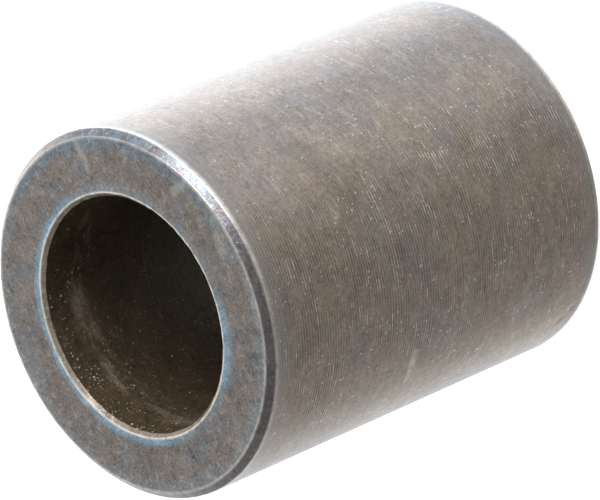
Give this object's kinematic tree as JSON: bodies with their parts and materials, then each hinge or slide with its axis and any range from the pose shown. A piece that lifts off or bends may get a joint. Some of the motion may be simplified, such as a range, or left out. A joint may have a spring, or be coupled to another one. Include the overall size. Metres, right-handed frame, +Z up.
{
  "type": "spacer sleeve",
  "caption": "Thick-walled turned steel spacer sleeve with a plain through bore and chamfered ends.",
  "frame": {"origin": "centre of the end face that the sleeve stands on", "axes": "+Z up along the bore's axis"},
  "size_m": [0.025, 0.025, 0.032],
  "materials": {
    "blackened_steel": "turned, black oxide, satin with light wear and dust"
  },
  "bodies": {
    "root": {"sleeve": "blackened_steel"}
  },
  "joints": []
}
